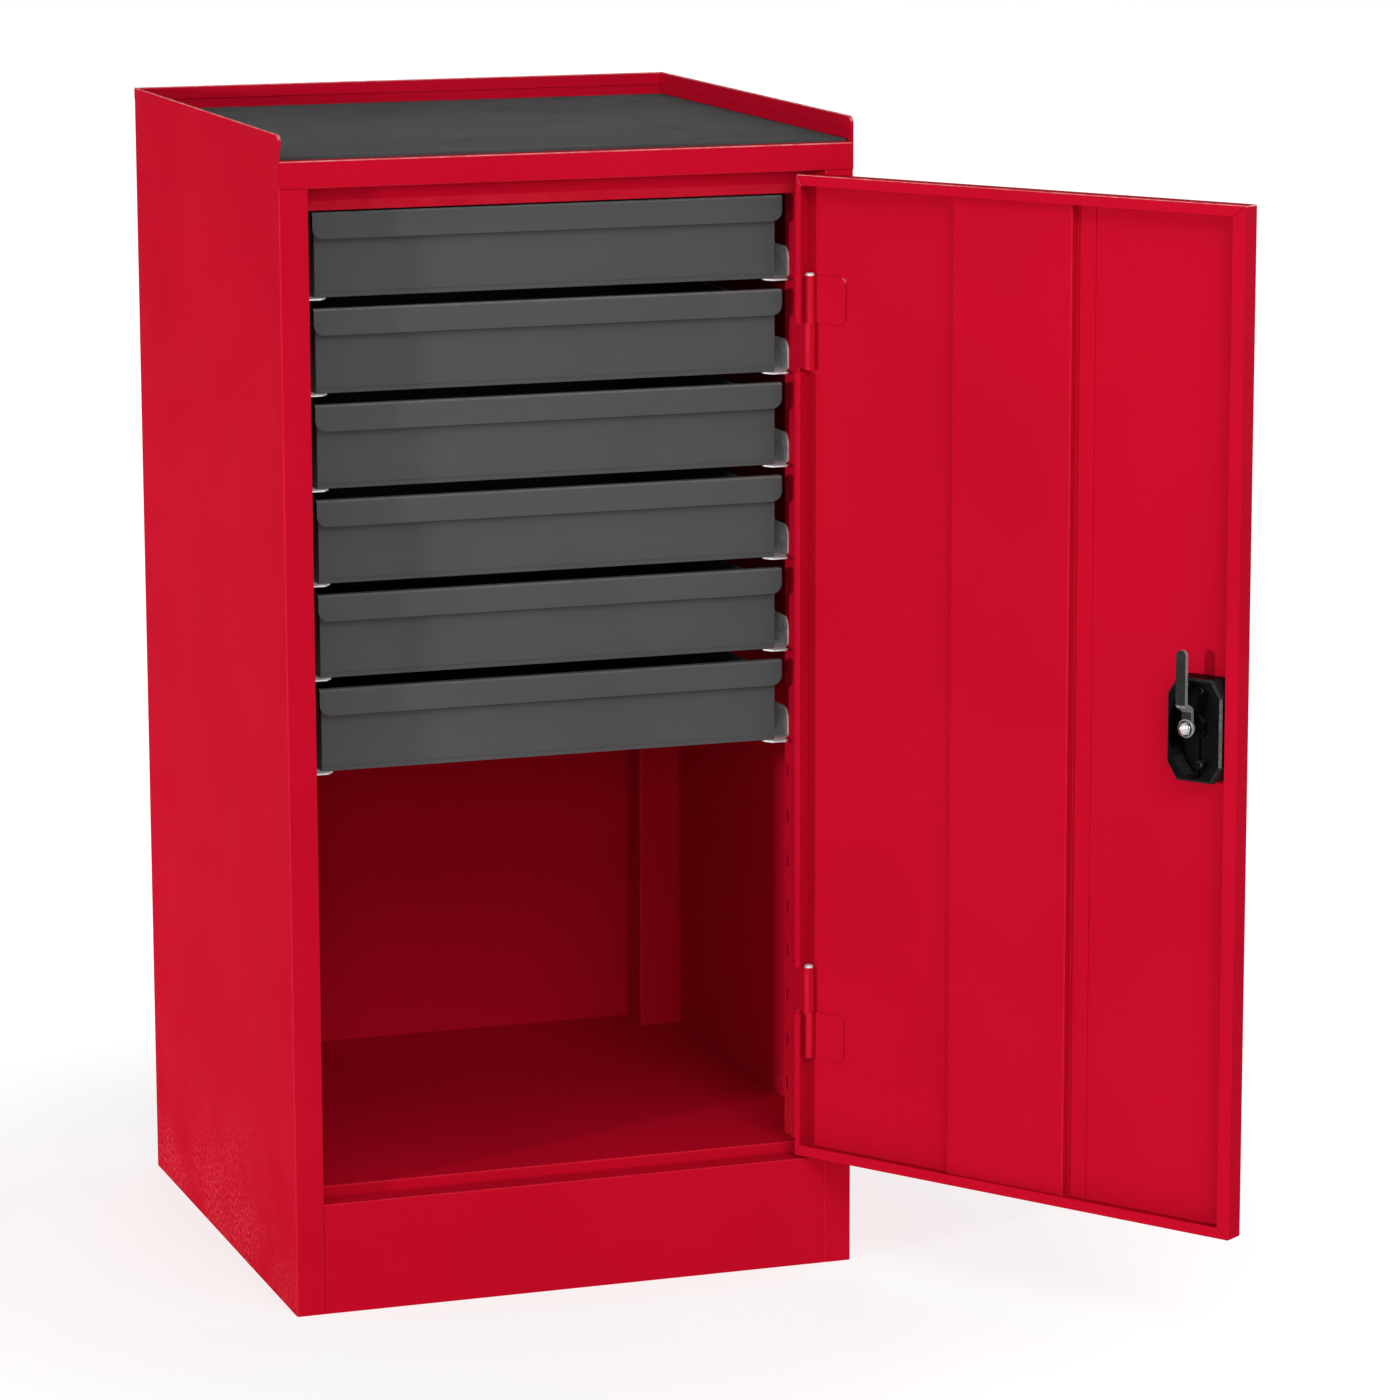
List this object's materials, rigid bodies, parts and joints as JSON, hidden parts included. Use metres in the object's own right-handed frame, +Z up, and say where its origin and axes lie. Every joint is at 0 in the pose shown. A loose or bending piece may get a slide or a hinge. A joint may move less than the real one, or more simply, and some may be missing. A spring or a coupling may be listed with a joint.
{
  "type": "drawer tool cabinet",
  "caption": "Upright sheet-steel tool cabinet with a rimmed ribbed top, a hinged door with a cam lock, a stack of shallow drawers on angle rails and an open bay below.",
  "frame": {"origin": "centre of the cabinet's footprint on the floor", "axes": "+X to the right seen from the front, +Y to the back, +Z up"},
  "size_m": [0.7106, 0.8613, 1],
  "materials": {
    "powder_red": "satin powder coat",
    "drawer_grey": "fine matt powder coat",
    "galvanised": "galvanised",
    "ribbed_rubber": "fine ribbed",
    "black_plastic": "moulded, slight sheen",
    "black_steel": "blackened",
    "plated": "nickel plated"
  },
  "bodies": {
    "cabinet": {"side_panel_left": "powder_red", "side_panel_right": "powder_red", "back_panel": "powder_red", "top_panel": "powder_red", "top_mat": "ribbed_rubber", "plinth_front": "powder_red", "base_frame": "powder_red", "bay_floor": "powder_red", "upright_front_left": "powder_red", "upright_front_right": "powder_red", "upright_rear_left": "powder_red", "upright_rear_right": "powder_red", "drawer_rails_left": "galvanised", "drawer_rails_right": "galvanised", "frame_hinge_leaves": "powder_red", "hinge_pins": "galvanised"},
    "door": {"door_panel": "powder_red", "door_stiffener": "powder_red", "lock_bezel": "black_plastic", "lock_housing": "black_plastic", "door_hinge_leaves": "powder_red"},
    "lock_handle": {"handle_grip": "black_plastic", "lock_spindle": "plated", "cam_lever": "black_steel"},
    "key_plug": {"lock_cylinder": "plated"},
    "drawer_1": {"drawer_1_tray": "drawer_grey", "drawer_1_guides": "drawer_grey", "drawer_1_front": "drawer_grey"},
    "drawer_2": {"drawer_2_tray": "drawer_grey", "drawer_2_guides": "drawer_grey", "drawer_2_front": "drawer_grey"},
    "drawer_3": {"drawer_3_tray": "drawer_grey", "drawer_3_guides": "drawer_grey", "drawer_3_front": "drawer_grey"},
    "drawer_4": {"drawer_4_tray": "drawer_grey", "drawer_4_guides": "drawer_grey", "drawer_4_front": "drawer_grey"},
    "drawer_5": {"drawer_5_tray": "drawer_grey", "drawer_5_guides": "drawer_grey", "drawer_5_front": "drawer_grey"},
    "drawer_6": {"drawer_6_tray": "drawer_grey", "drawer_6_guides": "drawer_grey", "drawer_6_front": "drawer_grey"}
  },
  "joints": [
    {"name": "door_hinge", "type": "hinge", "parent": "cabinet", "child": "door", "pos_m": [0.213, -0.244, 0.5], "axis": [0, 0, 1], "range_deg": [-124, 0]},
    {"name": "handle_turn", "type": "hinge", "parent": "door", "child": "lock_handle", "pos_m": [0.42555, -0.56985, 0.5245], "axis": [0.829, 0.5592, 0], "range_deg": [0, 90]},
    {"name": "key_turn", "type": "hinge", "parent": "lock_handle", "child": "key_plug", "pos_m": [0.42555, -0.56985, 0.5245], "axis": [0.829, 0.5592, 0], "range_deg": [0, 90]},
    {"name": "drawer_1_slide", "type": "slide", "parent": "cabinet", "child": "drawer_1", "axis": [0, -1, 0], "range_m": [0, 0.35]},
    {"name": "drawer_2_slide", "type": "slide", "parent": "cabinet", "child": "drawer_2", "axis": [0, -1, 0], "range_m": [0, 0.35]},
    {"name": "drawer_3_slide", "type": "slide", "parent": "cabinet", "child": "drawer_3", "axis": [0, -1, 0], "range_m": [0, 0.35]},
    {"name": "drawer_4_slide", "type": "slide", "parent": "cabinet", "child": "drawer_4", "axis": [0, -1, 0], "range_m": [0, 0.35]},
    {"name": "drawer_5_slide", "type": "slide", "parent": "cabinet", "child": "drawer_5", "axis": [0, -1, 0], "range_m": [0, 0.35]},
    {"name": "drawer_6_slide", "type": "slide", "parent": "cabinet", "child": "drawer_6", "axis": [0, -1, 0], "range_m": [0, 0.35]}
  ]
}
